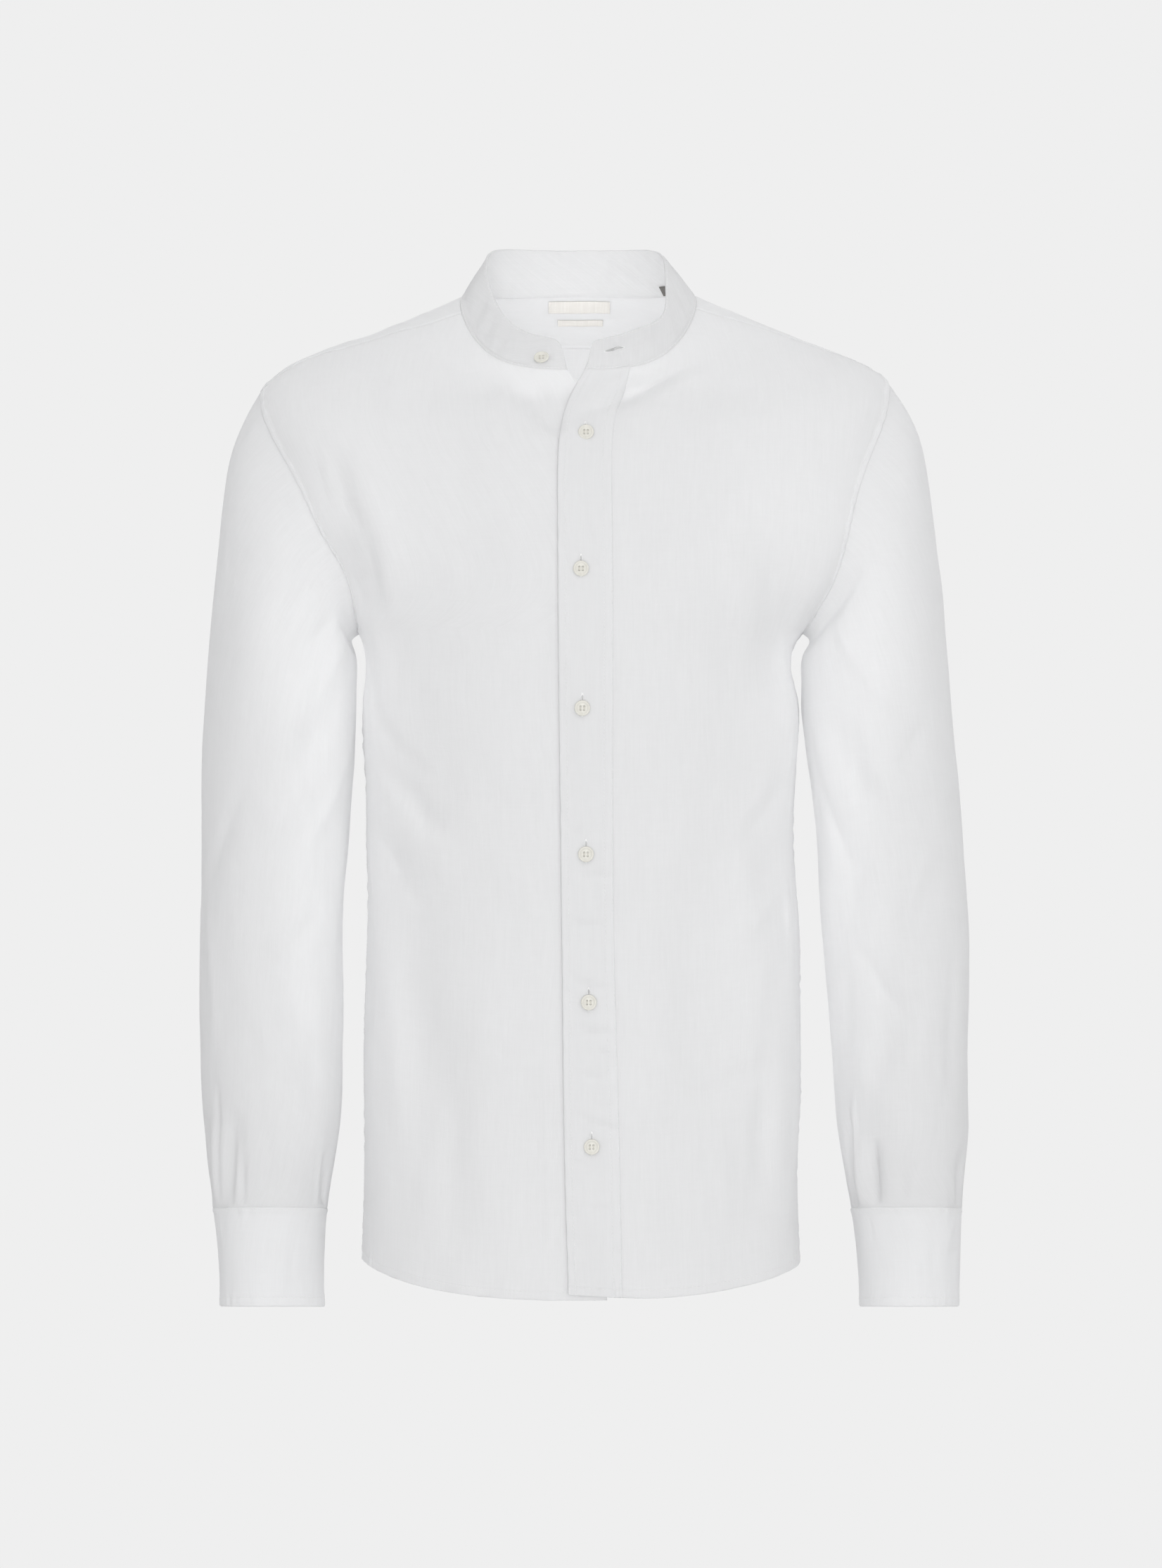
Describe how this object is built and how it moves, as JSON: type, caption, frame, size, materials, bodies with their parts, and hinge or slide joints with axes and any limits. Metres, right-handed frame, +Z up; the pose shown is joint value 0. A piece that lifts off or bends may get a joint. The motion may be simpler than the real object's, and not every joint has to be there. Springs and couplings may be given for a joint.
{
  "type": "mandarin collar shirt",
  "caption": "Long-sleeved linen shirt with a standing band collar, button front placket, curved hem and buttoned cuffs, filled out as worn.",
  "frame": {"origin": "base of the neck, midway between the two points where the neck seam meets the shoulders", "axes": "+Z up, -Y to the front, +X towards the wearer's left"},
  "size_m": [0.562, 0.2581, 0.7781],
  "materials": {
    "linen": "plain-woven white linen, matt",
    "button": "cream, satin",
    "label": "woven cream tape, blank"
  },
  "bodies": {
    "root": {"back": "linen", "yoke": "linen", "front_left": "linen", "front_right": "linen", "front_placket": "linen", "collar_band": "linen", "sleeve_left": "linen", "sleeve_right": "linen", "cuff_left": "linen", "cuff_right": "linen", "sleeve_placket_left": "linen", "sleeve_placket_right": "linen", "button_1": "button", "button_2": "button", "button_3": "button", "button_4": "button", "button_5": "button", "button_6": "button", "collar_button": "button", "cuff_button_left": "button", "cuff_button_right": "button", "neck_label": "label", "fabric_label": "label", "size_label": "label"}
  },
  "joints": []
}
